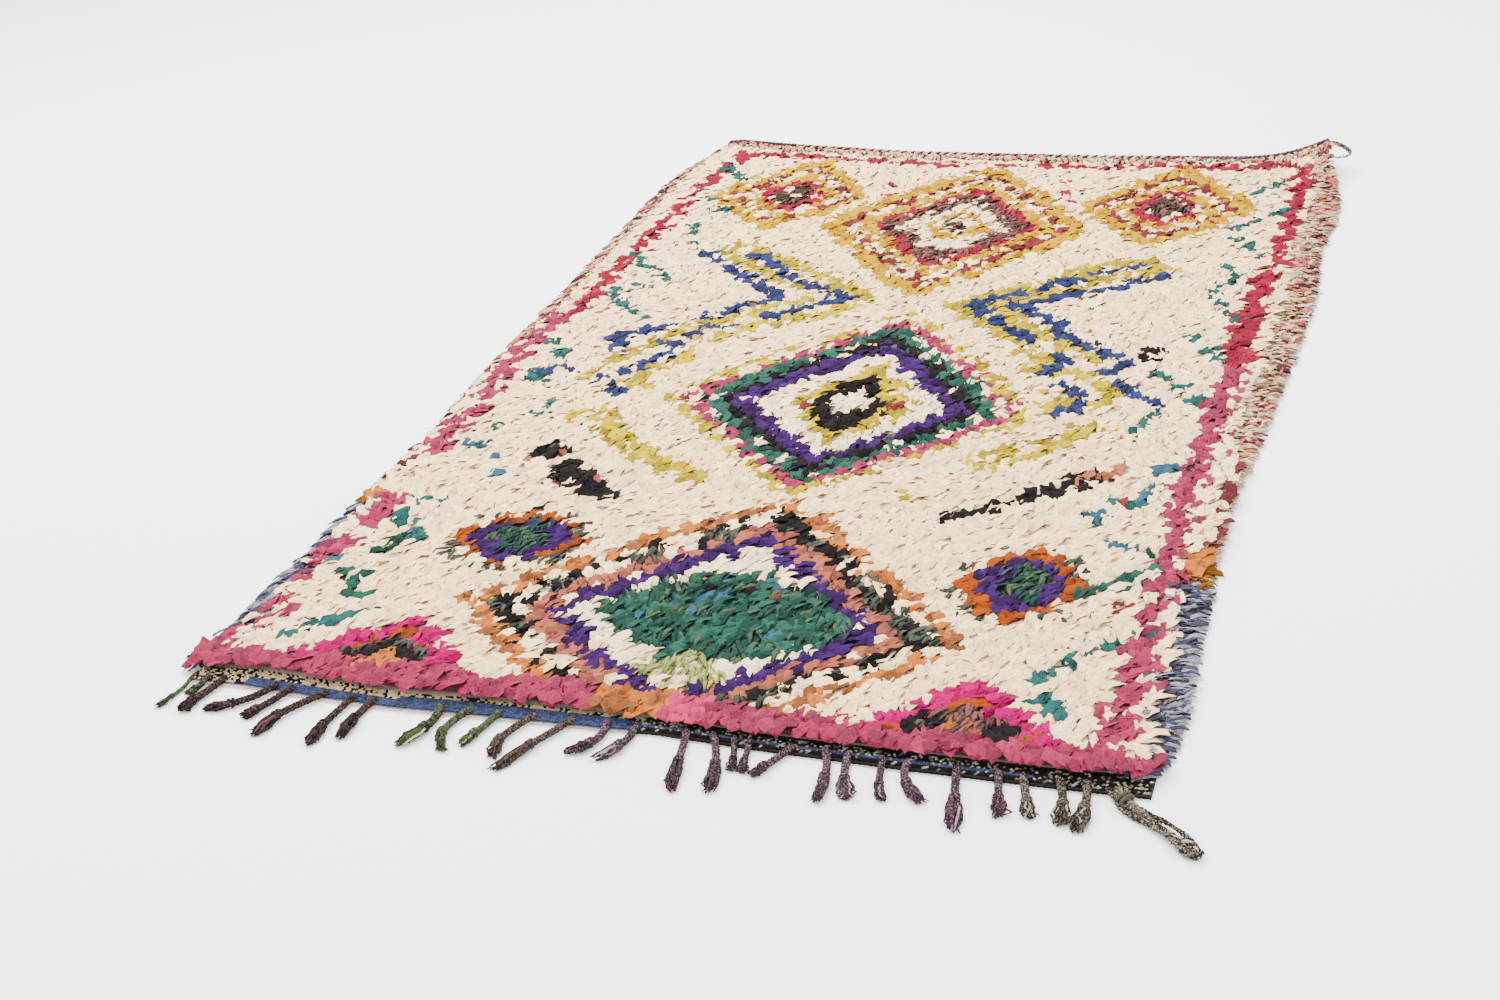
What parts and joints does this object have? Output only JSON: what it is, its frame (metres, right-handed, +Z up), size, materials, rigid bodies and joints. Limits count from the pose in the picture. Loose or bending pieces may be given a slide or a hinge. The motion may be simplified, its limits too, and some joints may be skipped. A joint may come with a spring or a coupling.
{
  "type": "boucherouite rug",
  "caption": "Rectangular shaggy rag-pile rug lying flat, with a flat-woven end band, a knotted fringe, a thick corner tassel and a curled corner with a cord loop.",
  "frame": {"origin": "on the floor under the middle of the pile, on the rug's flat underside", "axes": "+Y along the rug to its plain end, so the fringed end is at -Y; +X to the right seen from the fringed end; +Z up"},
  "size_m": [1.2714, 2.2407, 0.0494],
  "materials": {
    "pile_cotton": "matte cotton rag pile, ivory ground with coloured lozenges",
    "band_wool": "matte flat-woven wool, dark with blue stripe and ivory specks",
    "fringe_wool": "matte plied wool, maroon, green, brown and mauve",
    "tassel_wool": "matte plied wool, black and ivory",
    "loop_cord": "matte grey wool cord"
  },
  "bodies": {
    "root": {"rug_body": "pile_cotton", "end_band": "band_wool", "near_fringe": "fringe_wool", "corner_tassel": "tassel_wool", "corner_loop": "loop_cord"}
  },
  "joints": []
}
